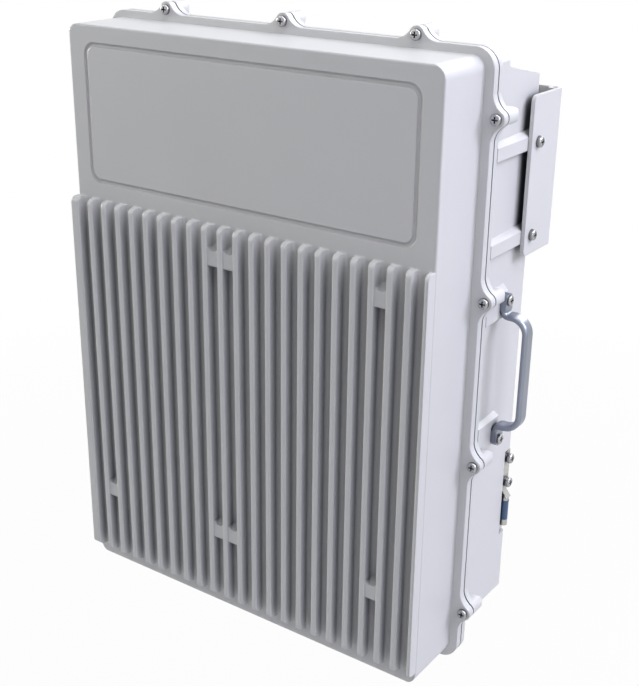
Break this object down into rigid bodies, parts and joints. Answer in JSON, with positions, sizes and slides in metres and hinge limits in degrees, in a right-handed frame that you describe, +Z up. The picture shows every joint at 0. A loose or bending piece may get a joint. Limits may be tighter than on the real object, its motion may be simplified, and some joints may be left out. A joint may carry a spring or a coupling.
{
  "type": "outdoor equipment enclosure",
  "caption": "Wall-hung outdoor enclosure for radio equipment: a finned cast cover screwed to a cast housing, with side bow handles, a folded bracket and a ground lug.",
  "frame": {"origin": "centre of the bracket's four wall bolt holes, on the face that meets the wall", "axes": "+Z up, +Y into the wall, the finned front faces -Y, +X to the viewer's right"},
  "size_m": [0.3976, 0.1704, 0.5042],
  "materials": {
    "powder_coat": "light grey powder coat on cast and folded metal",
    "seal_rubber": "matt black silicone",
    "stainless": "bright stainless steel",
    "satin_aluminium": "satin anodised",
    "tinned_copper": "tin-plated copper",
    "nickel_brass": "nickel-plated brass",
    "white_insulator": "plain",
    "black_nylon": "fine matt",
    "milled_aluminium": "milled",
    "soft_pad": "soft matt",
    "circuit_board": "solder mask",
    "tinned_sheet": "tin-plated sheet",
    "plain_brass": "turned"
  },
  "bodies": {
    "root": {"front_cover": "powder_coat", "rear_housing": "powder_coat", "cover_seal": "seal_rubber", "cover_screws": "stainless", "right_handle": "satin_aluminium", "left_handle": "satin_aluminium", "handle_screws": "stainless", "wall_bracket": "powder_coat", "bracket_screws": "stainless", "bracket_washers": "stainless", "ground_lug": "tinned_copper", "ground_bolts": "stainless", "ground_spring_washers": "stainless", "ground_flat_washers": "stainless", "connector_bodies": "nickel_brass", "connector_inserts": "white_insulator", "connector_screws": "stainless", "gland_body": "black_nylon", "gland_ring": "seal_rubber", "gland_nut": "black_nylon", "breather_plug": "black_nylon", "power_amplifier": "milled_aluminium", "thermal_pad": "soft_pad", "amplifier_screws": "stainless", "cavity_filter": "milled_aluminium", "filter_lid": "milled_aluminium", "tuning_screws": "plain_brass", "filter_screws": "stainless", "main_board": "circuit_board", "board_standoffs": "plain_brass", "board_screws": "stainless", "shield_cans": "tinned_sheet", "power_supply": "milled_aluminium", "supply_cover": "tinned_sheet", "supply_screws": "stainless"}
  },
  "joints": []
}
